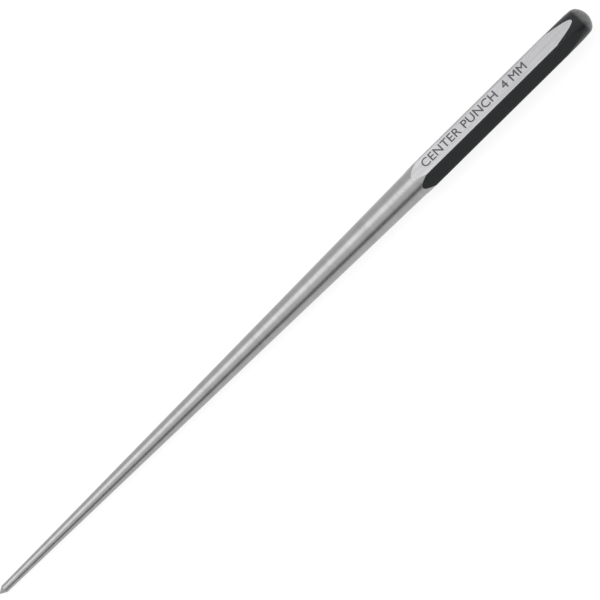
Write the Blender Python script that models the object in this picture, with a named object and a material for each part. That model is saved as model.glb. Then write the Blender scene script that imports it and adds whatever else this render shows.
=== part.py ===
"""A long center punch: one solid bar of hexagonal tool steel.

The shank is turned and ground to a long taper that ends in a conical point, the middle keeps the bar's
six flats as the grip, and the other end is turned to a slight taper with a crown that the hammer strikes.
Nothing is fitted to the bar and nothing is inside it, so the whole tool is one solid.

Metres, +Z up. The punch lies along X on one of its flats, the point at -X and the head at +X. The origin
is below the middle of its length, on the surface that it lies on.
"""

from math import atan2, cos, pi, radians, sin, sqrt, tan

import bmesh
import bpy
from mathutils import Vector

# The bar
OVERALL_LENGTH = 0.381  # 15 in, from the tip of the point to the top of the crown
ACROSS_FLATS = 0.0142875  # 9/16 in
FLATS = 6
CORNER_ROUNDING = 0.0004  # radius along the bar's long edges

# The point
POINT_DIAMETER = 0.00396875  # 5/32 in, where the cone meets the shank
POINT_ANGLE = radians(60.0)  # included

# The shank
SHANK_LENGTH = 0.270  # from the tip to the thick end of the taper
SHANK_BELOW_FLATS = 0.0001  # how far the thick end lies inside the flats
RUN_OUT_ANGLE = radians(10.8)  # the slope from the shank up to the bar's corners

# The head
HEAD_LENGTH = 0.0211  # from the top of the crown back to where the taper meets the corners
HEAD_TAPER_ANGLE = radians(4.7)  # per side
CROWN_HEIGHT = 0.0034  # how far the crown stands above its rim
HEAD_EDGE_RADIUS = 0.004  # the rounding where the crown meets the taper

# How finely the round surfaces are divided
TURNED_STEPS = 144
CROWN_STEPS = 6
CORNER_STEPS = 3
CUTTING_MARGIN = 0.0003  # how far cutting surfaces run past the material that they cut

SHARP_EDGE = radians(25.0)
FACE_TOLERANCE = 0.00001  # a face this near a flat's plane belongs to that flat

apothem = ACROSS_FLATS / 2
corner_radius = apothem / cos(pi / FLATS)
point_radius = POINT_DIAMETER / 2
point_length = point_radius / tan(POINT_ANGLE / 2)
shank_end_radius = apothem - SHANK_BELOW_FLATS
head_start = OVERALL_LENGTH - HEAD_LENGTH
envelope_radius = corner_radius + CUTTING_MARGIN


def clear_scene():
    for old in list(bpy.data.objects):
        bpy.data.objects.remove(old, do_unlink=True)


def steel_finish(name, colour, metallic, roughness):
    material = bpy.data.materials.new(name)
    material.use_nodes = True
    shader = material.node_tree.nodes["Principled BSDF"]
    shader.inputs["Base Color"].default_value = (*colour, 1.0)
    shader.inputs["Metallic"].default_value = metallic
    shader.inputs["Roughness"].default_value = roughness
    return material


def taper_radius(height):
    """The radius of the head's taper at this height above the tip."""
    return corner_radius - (height - head_start) * tan(HEAD_TAPER_ANGLE)


def arc(centre, radius, first_angle, last_angle):
    """Points (radius, height) along an arc of the profile, its ends included."""
    turn = (last_angle - first_angle) / CROWN_STEPS
    angles = [first_angle + turn * i for i in range(CROWN_STEPS + 1)]
    return [(centre[0] + radius * cos(a), centre[1] + radius * sin(a)) for a in angles]


def head_profile():
    """The crown and the edge below it, from the top of the crown down to the taper.

    The crown is a sphere through the top and the rim. The edge is an arc that touches the crown from
    inside and the taper: its centre lies on a line parallel to the taper, one edge radius inside it.
    """
    rim_height = OVERALL_LENGTH - CROWN_HEIGHT
    rim_radius = taper_radius(rim_height)
    crown_radius = (rim_radius**2 + CROWN_HEIGHT**2) / (2 * CROWN_HEIGHT)
    crown_centre = OVERALL_LENGTH - crown_radius
    outward = Vector((cos(HEAD_TAPER_ANGLE), sin(HEAD_TAPER_ANGLE)))
    upward = Vector((-outward.y, outward.x))
    start = Vector((rim_radius, rim_height)) - outward * HEAD_EDGE_RADIUS
    from_crown = start - Vector((0.0, crown_centre))
    along = from_crown.dot(upward)
    spare = (crown_radius - HEAD_EDGE_RADIUS) ** 2 - from_crown.length_squared
    edge_centre = start + upward * (sqrt(along**2 + spare) - along)
    touch_angle = atan2(edge_centre.y - crown_centre, edge_centre.x)
    crown = arc((0.0, crown_centre), crown_radius, pi / 2, touch_angle)
    crown[0] = (0.0, OVERALL_LENGTH)
    edge = arc(edge_centre, HEAD_EDGE_RADIUS, touch_angle, HEAD_TAPER_ANGLE)
    return crown + edge[1:]


def turned_profile():
    """The outline that the tool is turned and ground to, as (radius, height) from the crown to the tip."""
    over_head = head_start - CUTTING_MARGIN / tan(HEAD_TAPER_ANGLE)
    run_out_top = SHANK_LENGTH + (envelope_radius - shank_end_radius) / tan(RUN_OUT_ANGLE)
    return [
        *head_profile(),
        (envelope_radius, over_head),
        (envelope_radius, run_out_top),
        (shank_end_radius, SHANK_LENGTH),
        (point_radius, point_length),
        (0.0, 0.0),
    ]


def turned_envelope():
    """The turned outline as a solid, which keeps what it shares with the bar.

    It is turned half a step, so that a facet of the shank and not an edge lies below each flat.
    """
    mesh = bpy.data.meshes.new("turned_envelope")
    points = [(radius, 0.0, height) for radius, height in turned_profile()]
    mesh.from_pydata(points, [(i, i + 1) for i in range(len(points) - 1)], [])
    envelope = bpy.data.objects.new("turned_envelope", mesh)
    bpy.context.scene.collection.objects.link(envelope)
    screw = envelope.modifiers.new("turn", "SCREW")
    screw.axis = "Z"
    screw.angle = 2 * pi
    screw.steps = TURNED_STEPS
    screw.render_steps = TURNED_STEPS
    screw.use_merge_vertices = True
    screw.merge_threshold = FACE_TOLERANCE
    envelope.rotation_euler.z = pi / TURNED_STEPS
    envelope.hide_render = True
    envelope.display_type = "WIRE"
    return envelope


def flat_direction(side):
    """The outward direction of one flat of the upright bar. Flat 0 ends up on top of the tool."""
    angle = pi + 2 * pi * side / FLATS
    return Vector((cos(angle), sin(angle), 0.0))


def hexagonal_bar():
    """The bar as it comes from the mill, upright, with rounded long edges and both ends overlong."""
    shape = bmesh.new()
    ring = []
    for side in range(FLATS):
        angle = pi + 2 * pi * (side + 0.5) / FLATS
        ring.append(shape.verts.new((corner_radius * cos(angle), corner_radius * sin(angle), -CUTTING_MARGIN)))
    bottom = shape.faces.new(ring)
    grown = bmesh.ops.extrude_face_region(shape, geom=[bottom])["geom"]
    top = [item for item in grown if isinstance(item, bmesh.types.BMVert)]
    bmesh.ops.translate(shape, verts=top, vec=(0.0, 0.0, OVERALL_LENGTH + 2 * CUTTING_MARGIN))
    long_edges = [e for e in shape.edges if abs(e.verts[0].co.z - e.verts[1].co.z) > OVERALL_LENGTH]
    bmesh.ops.bevel(
        shape,
        geom=long_edges,
        offset=CORNER_ROUNDING * tan(pi / FLATS),
        offset_type="OFFSET",
        segments=CORNER_STEPS,
        profile=0.5,
        affect="EDGES",
    )
    bmesh.ops.recalc_face_normals(shape, faces=shape.faces)
    mesh = bpy.data.meshes.new("center_punch")
    shape.to_mesh(mesh)
    shape.free()
    bar = bpy.data.objects.new("center_punch", mesh)
    bpy.context.scene.collection.objects.link(bar)
    return bar


def is_ground(face):
    """Whether a face is ground bright: the point, the shank and its run-out, and flat 0."""
    planes = [flat_direction(side) for side in range(FLATS)]
    flush = [abs(face.center.dot(plane) - apothem) < FACE_TOLERANCE for plane in planes]
    square = [face.normal.dot(plane) > cos(SHARP_EDGE / FLATS) for plane in planes]
    on_flat = [near and facing for near, facing in zip(flush, square)]
    below_grip = face.center.length < OVERALL_LENGTH / 2 or face.normal.z < -sin(RUN_OUT_ANGLE) / 2
    return on_flat[0] or (below_grip and not any(on_flat))


def center_punch():
    bar = hexagonal_bar()
    turn = bar.modifiers.new("turn_and_grind", "BOOLEAN")
    turn.operation = "INTERSECT"
    turn.solver = "EXACT"
    turn.object = turned_envelope()
    turned = bar.evaluated_get(bpy.context.evaluated_depsgraph_get())
    mesh = bpy.data.meshes.new_from_object(turned)
    bar.modifiers.clear()
    bar.data = mesh
    mesh.materials.clear()
    mesh.materials.append(steel_finish("black_finish", (0.006, 0.0075, 0.008), 0.0, 0.42))
    mesh.materials.append(steel_finish("ground_steel", (0.38, 0.38, 0.385), 1.0, 0.32))
    for face in mesh.polygons:
        face.material_index = int(is_ground(face))
    mesh.shade_smooth()
    mesh.set_sharp_from_angle(angle=SHARP_EDGE)
    bar.rotation_euler = (0.0, pi / 2, 0.0)
    bar.location = (-OVERALL_LENGTH / 2, 0.0, apothem)
    return bar


clear_scene()
center_punch()
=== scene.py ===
from math import atan2, cos, pi, radians, sin, sqrt, tan

import bmesh
import bpy
import numpy as np
from mathutils import Matrix, Vector


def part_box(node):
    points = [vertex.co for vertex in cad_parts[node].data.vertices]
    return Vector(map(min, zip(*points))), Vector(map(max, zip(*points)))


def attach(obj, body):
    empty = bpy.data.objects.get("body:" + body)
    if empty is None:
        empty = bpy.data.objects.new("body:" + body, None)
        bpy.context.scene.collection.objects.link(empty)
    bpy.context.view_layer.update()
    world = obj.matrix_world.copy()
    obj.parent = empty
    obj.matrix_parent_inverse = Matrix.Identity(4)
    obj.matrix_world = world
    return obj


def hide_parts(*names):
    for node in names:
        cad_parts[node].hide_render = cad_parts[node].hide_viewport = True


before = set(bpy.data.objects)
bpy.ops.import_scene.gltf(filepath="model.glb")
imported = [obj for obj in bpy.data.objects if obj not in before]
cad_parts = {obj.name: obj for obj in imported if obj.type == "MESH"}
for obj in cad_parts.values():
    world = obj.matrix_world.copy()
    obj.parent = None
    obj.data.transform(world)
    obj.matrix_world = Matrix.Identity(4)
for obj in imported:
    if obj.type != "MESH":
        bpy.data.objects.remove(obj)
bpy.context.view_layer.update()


# The camera stands over the near side of the tool and looks down on two of the grip's flats, square to
# the tool's length. It is turned so that the tool lies corner to corner, with its head at the upper right.
low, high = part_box("center_punch")
length = high.x - low.x
apothem = (high.z - low.z) / 2
tip = Vector((low.x, 0.0, low.z + apothem))

camera_height_angle = radians(62.85)
camera_roll = radians(44.6)
camera_lens = 250.0
view_width = 0.2768
view_centre = 0.1941  # along the tool from its tip
view_drop = 0.0008  # how far the view's centre lies below the tool's axis

camera = bpy.data.objects.new("camera", bpy.data.cameras.new("camera"))
bpy.context.scene.collection.objects.link(camera)
camera.data.lens = camera_lens
camera_distance = view_width * camera_lens / camera.data.sensor_width
towards_camera = Vector((0.0, -cos(camera_height_angle), sin(camera_height_angle)))
across_view = Vector((0.0, sin(camera_height_angle), cos(camera_height_angle)))
turn = Matrix.Rotation(-camera_roll, 3, towards_camera)
camera_axes = Matrix((turn @ Vector((1.0, 0.0, 0.0)), turn @ across_view, towards_camera)).transposed()
looked_at = tip + Vector((view_centre, 0.0, 0.0)) - across_view * view_drop
stands_at = looked_at + towards_camera * camera_distance
camera.matrix_world = Matrix.Translation(stands_at) @ camera_axes.to_4x4()
bpy.context.scene.camera = camera


# The bar is a length of hexagonal tool steel, as the mill drew it: six flats, with the long corners
# between them slightly rounded. Its outline is a ring of points, counted from the top flat's near corner.
flats = 6
corner_rounding = 0.0004
flat_columns = 24
corner_columns = 6
sharp_corner = apothem / cos(pi / flats)
half_flat = (apothem - corner_rounding) * tan(pi / flats)
corner_centre = sharp_corner - corner_rounding / cos(pi / flats)

bar_outline = []
for flat in range(flats):
    facing = 2 * pi * flat / flats
    for step in range(flat_columns):
        across = half_flat * (2 * step / flat_columns - 1)
        bar_outline.append((facing, apothem, across))
    facing += pi / flats
    for step in range(corner_columns):
        lean = pi / flats * (2 * step / corner_columns - 1)
        out = corner_centre + corner_rounding * cos(lean)
        bar_outline.append((facing, out, corner_rounding * sin(lean)))

column_angle = np.array([facing + atan2(across, out) for facing, out, across in bar_outline])
bar_reach = np.array([sqrt(out**2 + across**2) for facing, out, across in bar_outline])
columns = len(bar_outline)

# The belt that brightened the top flat bit a little deeper at the shank end than at the head, and, being
# slack, more at the flat's edges than along its middle.
ground_depth = 0.00006
ground_roundness = 0.00002
above_axis = np.cos(column_angle)
faces_up = above_axis > cos(2 * pi / flats)
bite = ground_depth + ground_roundness * (apothem * np.tan(column_angle) / half_flat) ** 2
ground_reach = np.where(faces_up, np.minimum(bar_reach, (apothem - bite) / above_axis), bar_reach)


# The shank and point are ground between centres: a long taper from just inside the flats down to the
# point's base, a steeper run-out where the wheel climbs up to the corners, and a cone for the point.
point_diameter = 0.00396875
point_angle = radians(60.0)
tip_rounding = 0.0001
point_base_rounding = 0.0004
shank_length = 0.270
shank_below_flats = 0.0001
shank_end_rounding = 0.001
run_out_slope = radians(10.8)
shank_rows = 80
rounding_steps = 6


def rounded_corner(before, corner, after, radius):
    """Points along an arc that touches both lines meeting at a corner of an outline."""
    back = (before - corner).normalized()
    onward = (after - corner).normalized()
    half = back.angle(onward) / 2
    centre = corner + (back + onward).normalized() * radius / sin(half)
    first = corner + back * radius / tan(half) - centre
    last = corner + onward * radius / tan(half) - centre
    turns = [step / rounding_steps for step in range(rounding_steps + 1)]
    return [centre + radius * first.slerp(last, part).normalized() for part in turns]


point_base = Vector((point_diameter / 2 / tan(point_angle / 2), point_diameter / 2))
shank_end = Vector((shank_length, apothem - shank_below_flats))
run_out_end = shank_end + Vector((cos(run_out_slope), sin(run_out_slope))) * sharp_corner
tip_centre = Vector((tip_rounding / sin(point_angle / 2), 0.0))
tip_arc = []
for step in range(1, rounding_steps + 1):
    swing = (pi / 2 - point_angle / 2) * step / rounding_steps
    tip_arc.append(tip_centre + tip_rounding * Vector((-cos(swing), sin(swing))))
point_base_arc = rounded_corner(Vector((0.0, 0.0)), point_base, shank_end, point_base_rounding)
shank_end_arc = rounded_corner(point_base, shank_end, run_out_end, shank_end_rounding)


def straight_rows(start, end, count):
    """Evenly spaced places between two, which are left out."""
    return [start + (end - start) * step / count for step in range(1, count)]


shank_outline = [
    *tip_arc,
    *straight_rows(tip_arc[-1], point_base_arc[0], rounding_steps),
    *point_base_arc,
    *straight_rows(point_base_arc[-1], shank_end_arc[0], shank_rows),
    *shank_end_arc,
]


# The head is turned to a slight taper that cuts back the corners and then the flats, and crowned: the
# crown is part of a sphere, and a rounded edge joins it to the taper so that it doesn't chip.
head_length = 0.0211
head_slope = radians(4.7)
crown_height = 0.0034
head_edge_rounding = 0.004
crown_steps = 14

head_start = length - head_length
rim = Vector((length - crown_height, sharp_corner - (head_length - crown_height) * tan(head_slope)))
crown_radius = (rim.y**2 + crown_height**2) / (2 * crown_height)
crown_centre = Vector((length - crown_radius, 0.0))
off_taper = Vector((sin(head_slope), cos(head_slope)))
along_taper = Vector((-cos(head_slope), sin(head_slope)))
edge_start = rim - off_taper * head_edge_rounding - crown_centre
edge_reach = crown_radius - head_edge_rounding
along = edge_start.dot(along_taper)
slide = sqrt(along**2 + edge_reach**2 - edge_start.length_squared) + along
edge_centre = crown_centre + edge_start - along_taper * slide
edge_turn = atan2(edge_centre.y, edge_centre.x - crown_centre.x)

head_outline = []
for step in range(crown_steps + 1):
    swing = pi / 2 - head_slope - (pi / 2 - head_slope - edge_turn) * step / crown_steps
    head_outline.append(edge_centre + head_edge_rounding * Vector((cos(swing), sin(swing))))
for step in range(1, crown_steps):
    swing = edge_turn * (1 - step / crown_steps)
    head_outline.append(crown_centre + crown_radius * Vector((cos(swing), sin(swing))))


# Where the grinding wheel and the lathe tool break through a flat they leave a scalloped edge, and the
# last pass leaves it very slightly dull. Each column of the surface crosses that edge at its own place.
edge_dulling = 0.00002
grip_rows = 22
head_rows = 8


def dulled(turned, bar):
    """The lesser of two radii, eased where they are nearly the same."""
    near = np.maximum(edge_dulling - abs(turned - bar), 0.0) / edge_dulling
    return np.minimum(turned, bar) - near**2 * edge_dulling / 4


def ring(station):
    """The same place along the tool for every column."""
    return np.full(columns, station)


run_out_edge = shank_length + (ground_reach - shank_end.y) / tan(run_out_slope)
head_edge = head_start + (sharp_corner - bar_reach) / tan(head_slope)
ease_steps = (-1.0, -0.5, 0.0, 0.5, 1.0)
run_out_scallops = [run_out_edge + ease * edge_dulling / tan(run_out_slope) for ease in ease_steps]
head_scallops = [head_edge + ease * edge_dulling / tan(head_slope) for ease in ease_steps]
shank_rings = [ring(place.x) for place in shank_outline]
head_rings = [ring(place.x) for place in head_outline]
run_out_rings = straight_rows(shank_rings[-1], run_out_scallops[0], rounding_steps)
grip_rings = straight_rows(run_out_scallops[-1], head_scallops[0], grip_rows)
taper_rings = straight_rows(head_scallops[-1], head_rings[0], head_rows)

station = np.array([
    *shank_rings, *run_out_rings, *run_out_scallops, *grip_rings, *head_scallops, *taper_rings, *head_rings,
])
rows = len(station)
run_out_reach = shank_end.y + (station - shank_length) * tan(run_out_slope)
head_reach = sharp_corner - (station - head_start) * tan(head_slope)
grip_share = (station - run_out_edge) / (head_edge - run_out_edge)
grip_reach = ground_reach + (bar_reach - ground_reach) * np.clip(grip_share, 0.0, 1.0)
reach = dulled(np.minimum(run_out_reach, head_reach), grip_reach)
reach[: len(shank_outline)] = np.array([place.y for place in shank_outline])[:, None]
reach[-len(head_outline):] = np.array([place.y for place in head_outline])[:, None]

across_tool = reach * np.sin(column_angle)
up_from_axis = reach * np.cos(column_angle)
places = np.stack([tip.x + station, tip.y + across_tool, tip.z + up_from_axis], 2).reshape(-1, 3)
point_end = tip + Vector((tip_centre.x - tip_rounding, 0.0, 0.0))
crown_top = tip + Vector((length, 0.0, 0.0))
corners = [*places.tolist(), point_end, crown_top]
point_end_corner = rows * columns
crown_top_corner = point_end_corner + 1

faces = []
for row in range(rows - 1):
    for column in range(columns):
        near = row * columns + column
        far = row * columns + (column + 1) % columns
        faces.append((near, near + columns, far + columns, far))
last_ring = (rows - 1) * columns
for column in range(columns):
    onward = (column + 1) % columns
    faces.append((point_end_corner, column, onward))
    faces.append((crown_top_corner, last_ring + onward, last_ring + column))

shape = bpy.data.meshes.new("solid_bar")
shape.from_pydata(corners, [], faces)
punch = bpy.data.objects.new("solid_bar", shape)
bpy.context.scene.collection.objects.link(punch)


# The shank, its run-out and the point keep the grinding wheel's finish: bright tool steel with fine marks
# round the tool, a few coarser than the rest. Marks of any cut are made the same way, along their own line.
def new_node(tree, kind, settings=None, **inputs):
    """A shader node with its settings, and with its inputs set by name."""
    node = tree.nodes.new(kind)
    for name, value in (settings or {}).items():
        setattr(node, name, value)
    for name, value in inputs.items():
        node.inputs[name.replace("_", " ")].default_value = value
    return node


def new_effect(name, inputs, outputs):
    """An empty shader node group with these sockets, and the sockets inside it."""
    effect = bpy.data.node_groups.new(name, "ShaderNodeTree")
    for socket, kind in inputs.items():
        effect.interface.new_socket(socket, in_out="INPUT", socket_type=kind)
    for socket in outputs:
        effect.interface.new_socket(socket, in_out="OUTPUT", socket_type="NodeSocketFloat")
    given = effect.nodes.new("NodeGroupInput").outputs
    made = effect.nodes.new("NodeGroupOutput").inputs
    return effect, given, made


tool_marks, given, made = new_effect(
    "tool_marks",
    {"Place": "NodeSocketVector", "Patchiness": "NodeSocketFloat"},
    ["Marks", "Tone"],
)
fine_noise = new_node(tool_marks, "ShaderNodeTexNoise", Scale=1.0, Detail=5.0, Roughness=0.7)
fine_marks = new_node(tool_marks, "ShaderNodeMapRange", From_Min=0.3, From_Max=0.7)
patch_noise = new_node(tool_marks, "ShaderNodeTexNoise", Scale=0.07, Detail=3.0, Roughness=0.6)
patches = new_node(tool_marks, "ShaderNodeMapRange", From_Min=0.35, From_Max=0.65)
fading = new_node(tool_marks, "ShaderNodeMath", {"operation": "MULTIPLY"})
faded = new_node(tool_marks, "ShaderNodeMix", {"data_type": "FLOAT"}, B=0.5)
tone = new_node(tool_marks, "ShaderNodeMix", {"data_type": "FLOAT"}, Factor=0.4)
tool_marks.links.new(given["Place"], fine_noise.inputs["Vector"])
tool_marks.links.new(given["Place"], patch_noise.inputs["Vector"])
tool_marks.links.new(fine_noise.outputs["Fac"], fine_marks.inputs["Value"])
tool_marks.links.new(patch_noise.outputs["Fac"], patches.inputs["Value"])
tool_marks.links.new(patches.outputs["Result"], fading.inputs[0])
tool_marks.links.new(given["Patchiness"], fading.inputs[1])
tool_marks.links.new(fading.outputs["Value"], faded.inputs["Factor"])
tool_marks.links.new(fine_marks.outputs["Result"], faded.inputs["A"])
tool_marks.links.new(patches.outputs["Result"], tone.inputs["A"])
tool_marks.links.new(faded.outputs["Result"], tone.inputs["B"])
tool_marks.links.new(faded.outputs["Result"], made["Marks"])
tool_marks.links.new(tone.outputs["Result"], made["Tone"])


def ground_finish(name, marks_along, first_mark, dark, bright, smooth, rough, mark_depth, patchiness):
    """Bare steel with tool marks, given how many marks there are to a metre along X, Y and Z."""
    finish = bpy.data.materials.new(name)
    finish.use_nodes = True
    tree = finish.node_tree
    shader = tree.nodes["Principled BSDF"].inputs
    shader["Metallic"].default_value = 1.0
    place = new_node(tree, "ShaderNodeTexCoord")
    stretched = new_node(tree, "ShaderNodeMapping", Scale=marks_along, Location=first_mark)
    marks = new_node(tree, "ShaderNodeGroup", {"node_tree": tool_marks}, Patchiness=patchiness)
    colour = new_node(tree, "ShaderNodeMix", {"data_type": "RGBA"})
    colour.inputs["A"].default_value = (*dark, 1.0)
    colour.inputs["B"].default_value = (*bright, 1.0)
    gloss = new_node(tree, "ShaderNodeMapRange", To_Min=rough, To_Max=smooth)
    relief = new_node(tree, "ShaderNodeBump", Distance=mark_depth)
    tree.links.new(place.outputs["Object"], stretched.inputs["Vector"])
    tree.links.new(stretched.outputs["Vector"], marks.inputs["Place"])
    tree.links.new(marks.outputs["Tone"], colour.inputs["Factor"])
    tree.links.new(colour.outputs["Result"], shader["Base Color"])
    tree.links.new(marks.outputs["Marks"], gloss.inputs["Value"])
    tree.links.new(gloss.outputs["Result"], shader["Roughness"])
    tree.links.new(marks.outputs["Marks"], relief.inputs["Height"])
    tree.links.new(relief.outputs["Normal"], shader["Normal"])
    return finish


shank_finish = ground_finish(
    "ground_shank",
    marks_along=(3200.0, 110.0, 110.0),
    first_mark=(0.0, 0.0, 0.0),
    dark=(0.317, 0.317, 0.32),
    bright=(0.383, 0.383, 0.383),
    smooth=0.26,
    rough=0.36,
    mark_depth=0.00002,
    patchiness=0.6,
)


# The top flat was ground bright on a belt after the bar had been blackened, so its marks run along the
# tool. It is brighter than the shank, because a belt leaves flatter marks than a wheel does.
flat_finish = ground_finish(
    "ground_flat",
    marks_along=(110.0, 3200.0, 3200.0),
    first_mark=(7.0, 0.0, 0.0),
    dark=(0.36, 0.36, 0.368),
    bright=(0.52, 0.519, 0.531),
    smooth=0.3,
    rough=0.42,
    mark_depth=0.00002,
    patchiness=0.6,
)


# The other flats and the head are black: the steel was blackened in a hot salt bath, which leaves a thin
# skin of oxide, faintly mottled and matt, and then oiled. Handling wears it at the corners, and the hammer
# on the crown.
wear, given, made = new_effect(
    "wear",
    {"Place": "NodeSocketVector", "Corners": "NodeSocketFloat", "Crown": "NodeSocketFloat"},
    ["Wear"],
)
worn_corner = sharp_corner - corner_rounding / 2
corner_wear_width = 0.0004
crown_wear_below_edge = 0.0008
crown_wear_fade = 0.0024
crown_wear_start = tip.x + head_outline[0].x - crown_wear_below_edge
from_axis = new_node(wear, "ShaderNodeVectorMath", {"operation": "SUBTRACT"})
from_axis.inputs[1].default_value = (0.0, tip.y, tip.z)
flattened = new_node(wear, "ShaderNodeVectorMath", {"operation": "MULTIPLY"})
flattened.inputs[1].default_value = (0.0, 1.0, 1.0)
reach_out = new_node(wear, "ShaderNodeVectorMath", {"operation": "LENGTH"})
at_corner = new_node(wear, "ShaderNodeMapRange")
at_corner.inputs["From Min"].default_value = worn_corner - corner_wear_width
at_corner.inputs["From Max"].default_value = worn_corner
along_tool = new_node(wear, "ShaderNodeSeparateXYZ")
at_crown = new_node(wear, "ShaderNodeMapRange", {"interpolation_type": "SMOOTHSTEP"})
at_crown.inputs["From Min"].default_value = crown_wear_start
at_crown.inputs["From Max"].default_value = crown_wear_start + crown_wear_fade
rubbing = new_node(wear, "ShaderNodeTexNoise", Scale=700.0, Detail=5.0, Roughness=0.65)
uneven = new_node(wear, "ShaderNodeMapRange", From_Min=0.3, From_Max=0.6, To_Min=0.55, To_Max=1.0)
wear.links.new(given["Place"], from_axis.inputs[0])
wear.links.new(given["Place"], along_tool.inputs["Vector"])
wear.links.new(given["Place"], rubbing.inputs["Vector"])
wear.links.new(from_axis.outputs["Vector"], flattened.inputs[0])
wear.links.new(flattened.outputs["Vector"], reach_out.inputs[0])
wear.links.new(reach_out.outputs["Value"], at_corner.inputs["Value"])
wear.links.new(given["Corners"], at_corner.inputs["To Max"])
wear.links.new(along_tool.outputs["X"], at_crown.inputs["Value"])
wear.links.new(given["Crown"], at_crown.inputs["To Max"])
wear.links.new(rubbing.outputs["Fac"], uneven.inputs["Value"])
worst = new_node(wear, "ShaderNodeMath", {"operation": "MAXIMUM"})
broken_up = new_node(wear, "ShaderNodeMath", {"operation": "MULTIPLY"})
wear.links.new(at_corner.outputs["Result"], worst.inputs[0])
wear.links.new(at_crown.outputs["Result"], worst.inputs[1])
wear.links.new(worst.outputs["Value"], broken_up.inputs[0])
wear.links.new(uneven.outputs["Result"], broken_up.inputs[1])
wear.links.new(broken_up.outputs["Value"], made["Wear"])


oxide_specular = 0.25
oil_refraction = 1.3
oil_roughness = 0.22
bare_steel = (0.3, 0.3, 0.3, 1.0)
smoother_by = 0.05
rougher_by = 0.07
grain_depth = 0.000004


def blackened_finish(name, dark, faded, roughness, oil, corner_wear, crown_wear):
    """Black oxide on steel under a film of oil, with bare steel showing where it is worn."""
    finish = bpy.data.materials.new(name)
    finish.use_nodes = True
    tree = finish.node_tree
    shader = tree.nodes["Principled BSDF"].inputs
    shader["Specular IOR Level"].default_value = oxide_specular
    shader["Coat Weight"].default_value = oil
    shader["Coat IOR"].default_value = oil_refraction
    shader["Coat Roughness"].default_value = oil_roughness
    place = new_node(tree, "ShaderNodeTexCoord").outputs["Object"]
    mottling = new_node(tree, "ShaderNodeTexNoise", Scale=260.0, Detail=4.0, Roughness=0.6)
    grain = new_node(tree, "ShaderNodeTexNoise", Scale=6000.0, Detail=2.0)
    oxide = new_node(tree, "ShaderNodeMix", {"data_type": "RGBA"}, A=(*dark, 1.0), B=(*faded, 1.0))
    worn = new_node(tree, "ShaderNodeGroup", {"node_tree": wear}, Corners=corner_wear, Crown=crown_wear)
    colour = new_node(tree, "ShaderNodeMix", {"data_type": "RGBA"}, B=bare_steel)
    gloss = new_node(tree, "ShaderNodeMapRange", From_Min=0.3, From_Max=0.7)
    gloss.inputs["To Min"].default_value = roughness - smoother_by
    gloss.inputs["To Max"].default_value = roughness + rougher_by
    relief = new_node(tree, "ShaderNodeBump", Distance=grain_depth)
    tree.links.new(place, mottling.inputs["Vector"])
    tree.links.new(place, grain.inputs["Vector"])
    tree.links.new(place, worn.inputs["Place"])
    tree.links.new(mottling.outputs["Fac"], oxide.inputs["Factor"])
    tree.links.new(oxide.outputs["Result"], colour.inputs["A"])
    tree.links.new(worn.outputs["Wear"], colour.inputs["Factor"])
    tree.links.new(colour.outputs["Result"], shader["Base Color"])
    tree.links.new(worn.outputs["Wear"], shader["Metallic"])
    tree.links.new(mottling.outputs["Fac"], gloss.inputs["Value"])
    tree.links.new(gloss.outputs["Result"], shader["Roughness"])
    tree.links.new(grain.outputs["Fac"], relief.inputs["Height"])
    tree.links.new(relief.outputs["Normal"], shader["Normal"])
    return finish


black_finish = blackened_finish(
    "black_oxide",
    dark=(0.0026, 0.004, 0.0045),
    faded=(0.0085, 0.0105, 0.0112),
    roughness=0.42,
    oil=0.5,
    corner_wear=0.05,
    crown_wear=0.55,
)

for finish in (shank_finish, flat_finish, black_finish):
    shape.materials.append(finish)
shank_slot, flat_slot, black_slot = range(3)
run_out_scallop = len(shank_rings) + len(run_out_rings) + len(ease_steps) // 2
head_scallop = run_out_scallop + len(grip_rings) + len(ease_steps)
finish_of_face = []
for row in range(rows - 1):
    for column in range(columns):
        on_top_flat = (column + corner_columns) % columns < flat_columns + 2 * corner_columns
        if row < run_out_scallop:
            finish_of_face.append(shank_slot)
        elif row < head_scallop and on_top_flat:
            finish_of_face.append(flat_slot)
        else:
            finish_of_face.append(black_slot)
finish_of_face += [shank_slot, black_slot] * columns
shape.polygons.foreach_set("material_index", finish_of_face)


# The marking is stamped into the top flat before the bar is blackened, so the letters stay dark when the
# flat is ground. It says only what the tool is and the size of its point.
marking_start = 0.2775
marking_above_middle = 0.0004
marking_depth = 0.0001
letter_size = 0.0063
letter_spacing = 1.03
stroke_thinning = 0.00002
curve_steps = 5
weld_distance = 0.000001
sharp_edge = radians(30.0)

stamp_text = bpy.data.curves.new("stamp_text", "FONT")
stamp_text.body = "CENTER PUNCH  4 MM"
stamp_text.size = letter_size
stamp_text.space_character = letter_spacing
stamp_text.align_y = "CENTER"
stamp_text.resolution_u = curve_steps
stamp_text.extrude = 2 * marking_depth
stamp_text.bevel_depth = marking_depth
stamp_text.bevel_resolution = 0
stamp_text.offset = -stroke_thinning
lettering = bpy.data.objects.new("lettering", stamp_text)
bpy.context.scene.collection.objects.link(lettering)
bpy.context.view_layer.update()
letters = lettering.evaluated_get(bpy.context.evaluated_depsgraph_get())
stamp_shape = bpy.data.meshes.new_from_object(letters)
bpy.data.objects.remove(lettering)

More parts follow.
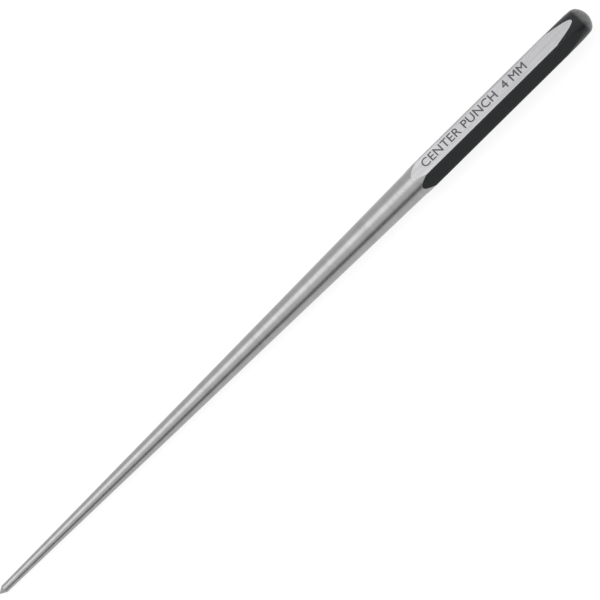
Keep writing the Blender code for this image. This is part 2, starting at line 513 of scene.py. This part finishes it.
welded = bmesh.new()
welded.from_mesh(stamp_shape)
bmesh.ops.remove_doubles(welded, verts=welded.verts, dist=weld_distance)
welded.to_mesh(stamp_shape)
welded.free()
stamp_shape.uv_layers.remove(stamp_shape.uv_layers[0])
stamp_shape.materials.clear()
stamp_shape.materials.append(blackened_finish(
    "oxide_in_the_stamp",
    dark=(0.06, 0.06, 0.064),
    faded=(0.13, 0.13, 0.135),
    roughness=0.6,
    oil=0.0,
    corner_wear=0.0,
    crown_wear=0.0,
))
stamp = bpy.data.objects.new("stamp", stamp_shape)
stamp_height = high.z + 2 * marking_depth - ground_depth / 2
stamp.location = (tip.x + marking_start, marking_above_middle, stamp_height)
bpy.context.scene.collection.objects.link(stamp)

stamping = punch.modifiers.new("stamping", "BOOLEAN")
stamping.operation = "DIFFERENCE"
stamping.solver = "EXACT"
stamping.use_self = True
stamping.material_mode = "TRANSFER"
stamping.object = stamp
stamped = bpy.data.meshes.new_from_object(punch.evaluated_get(bpy.context.evaluated_depsgraph_get()))
punch.modifiers.clear()
punch.data = stamped
bpy.data.objects.remove(stamp)
stamped.shade_smooth()
stamped.set_sharp_from_angle(angle=sharp_edge)


# So that the finish can be baked, the surface is unrolled: it is parted along the middle of the lowest flat
# and into three lengths, which lie one above the other at about the same scale.
lengths = 3
overhang = 0.004
gap = 0.002
outline_start = Vector((tip_centre.x - tip_rounding, 0.0))
outline = [outline_start, *shank_outline, *head_outline, Vector((length, 0.0))]
outline_station = [place.x for place in outline]
outline_run = np.cumsum([0.0] + [(b - a).length for a, b in zip(outline, outline[1:])])
length_run = outline_run[-1] / lengths
outline_reach = [place.y for place in outline]
girths = [2 * pi * np.interp(length_run * part, outline_run, outline_reach) for part in range(1, lengths)]
girths.append(2 * pi * sharp_corner)
starts = np.cumsum([gap] + [girth + gap for girth in girths])
sheet_length = length_run + 2 * overhang
unrolled = stamped.uv_layers.new(name="OFBake").data


def unrolled_place(place, run_start, middle_turn, start, girth):
    """Where a point of one face goes on the unrolled sheet."""
    run = np.interp(place.x - tip.x, outline_station, outline_run) - run_start
    turn = middle_turn
    if Vector((place.y, place.z - tip.z)).length > tip_rounding / rounding_steps:
        apart = atan2(place.y, place.z - tip.z) - middle_turn
        turn += (apart + pi) % (2 * pi) - pi
    return ((run + overhang) / sheet_length, (start + girth * (turn + pi) / (2 * pi)) / starts[-1])


for face in stamped.polygons:
    run = np.interp(face.center.x - tip.x, outline_station, outline_run)
    part = min(int(run / length_run), lengths - 1)
    run_start = part * length_run
    middle_turn = atan2(face.center.y, face.center.z - tip.z)
    for corner in face.loop_indices:
        place = stamped.vertices[stamped.loops[corner].vertex_index].co
        unrolled[corner].uv = unrolled_place(place, run_start, middle_turn, starts[part], girths[part])

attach(punch, "root")
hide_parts("center_punch")


# The tool lies on a pale matt table that gives off some light, so that it looks white. The tool's weight is
# just ahead of the grip, so it rests on its point and on the shank end of the lowest flat, and the table
# slopes to the tool as the line between those two does.
half_table = 3.0
table_grey = 0.14
table_roughness = 0.9
table_specular = 0.1
table_glow = 0.88
rests_at = shank_length + shank_below_flats / tan(run_out_slope)
slope = atan2(apothem - point_base.y, rests_at - point_base.x)
table_shape = bpy.data.meshes.new("table")
table_corners = [(x * half_table, y * half_table, 0.0) for x, y in ((-1, -1), (1, -1), (1, 1), (-1, 1))]
table_shape.from_pydata(table_corners, [], [(0, 1, 2, 3)])
table_finish = bpy.data.materials.new("pale_table")
table_finish.use_nodes = True
table_shader = table_finish.node_tree.nodes["Principled BSDF"].inputs
table_shader["Base Color"].default_value = (table_grey, table_grey, table_grey, 1.0)
table_shader["Roughness"].default_value = table_roughness
table_shader["Specular IOR Level"].default_value = table_specular
table_shader["Emission Color"].default_value = (1.0, 1.0, 1.0, 1.0)
table_shader["Emission Strength"].default_value = table_glow
table_shape.materials.append(table_finish)
table = bpy.data.objects.new("table", table_shape)
table.location = (tip.x + rests_at, 0.0, low.z)
table.rotation_euler = (0.0, slope, 0.0)
bpy.context.scene.collection.objects.link(table)


# The light is one long soft box overhead, in a pale room that is dark low down behind the camera.
box_angle = radians(99.0)  # from the horizon at the camera's side, up and over
box_distance = 1.6
box_length = 1.7
box_width = 1.16
box_towards_tip = 0.5
box_power = 7.0
room_front = 1.05
room_back = 0.92
room_dark = 0.14

soft_light = bpy.data.lights.new("soft_box", "AREA")
soft_light.shape = "RECTANGLE"
soft_light.size = box_length
soft_light.size_y = box_width
soft_light.energy = box_power
soft_box = bpy.data.objects.new("soft_box", soft_light)
bpy.context.scene.collection.objects.link(soft_box)
box_direction = Vector((0.0, -cos(box_angle), sin(box_angle)))
soft_box.location = box_direction * box_distance - Vector((box_towards_tip, 0.0, 0.0))
soft_box.rotation_euler = (pi / 2 - box_angle, 0.0, 0.0)

room = bpy.data.worlds.new("room")
room.use_nodes = True
bpy.context.scene.world = room
tree = room.node_tree
walls = tree.nodes["Background"].inputs
walls["Color"].default_value = (1.0, 1.0, 1.0, 1.0)
direction = new_node(tree, "ShaderNodeTexCoord").outputs["Generated"]
sides = new_node(tree, "ShaderNodeSeparateXYZ")
eased = {"interpolation_type": "SMOOTHSTEP"}
low_down = new_node(tree, "ShaderNodeMapRange", eased, From_Min=0.38, From_Max=0.6, To_Min=1.0, To_Max=0.0)
in_front = new_node(tree, "ShaderNodeMapRange", eased, From_Min=-0.3, From_Max=-0.7, To_Min=0.0, To_Max=1.0)
at_back = new_node(tree, "ShaderNodeMapRange", eased, From_Min=0.3, From_Max=0.7)
at_back.inputs["To Min"].default_value = room_front
at_back.inputs["To Max"].default_value = room_back
both = new_node(tree, "ShaderNodeMath", {"operation": "MULTIPLY"})
brightness = new_node(tree, "ShaderNodeMapRange", To_Max=room_dark)
tree.links.new(direction, sides.inputs["Vector"])
tree.links.new(sides.outputs["Z"], low_down.inputs["Value"])
tree.links.new(sides.outputs["Y"], in_front.inputs["Value"])
tree.links.new(sides.outputs["Y"], at_back.inputs["Value"])
tree.links.new(low_down.outputs["Result"], both.inputs[0])
tree.links.new(in_front.outputs["Result"], both.inputs[1])
tree.links.new(both.outputs["Value"], brightness.inputs["Value"])
tree.links.new(at_back.outputs["Result"], brightness.inputs["To Min"])
tree.links.new(brightness.outputs["Result"], walls["Strength"])
bpy.context.scene.view_settings.view_transform = "Standard"
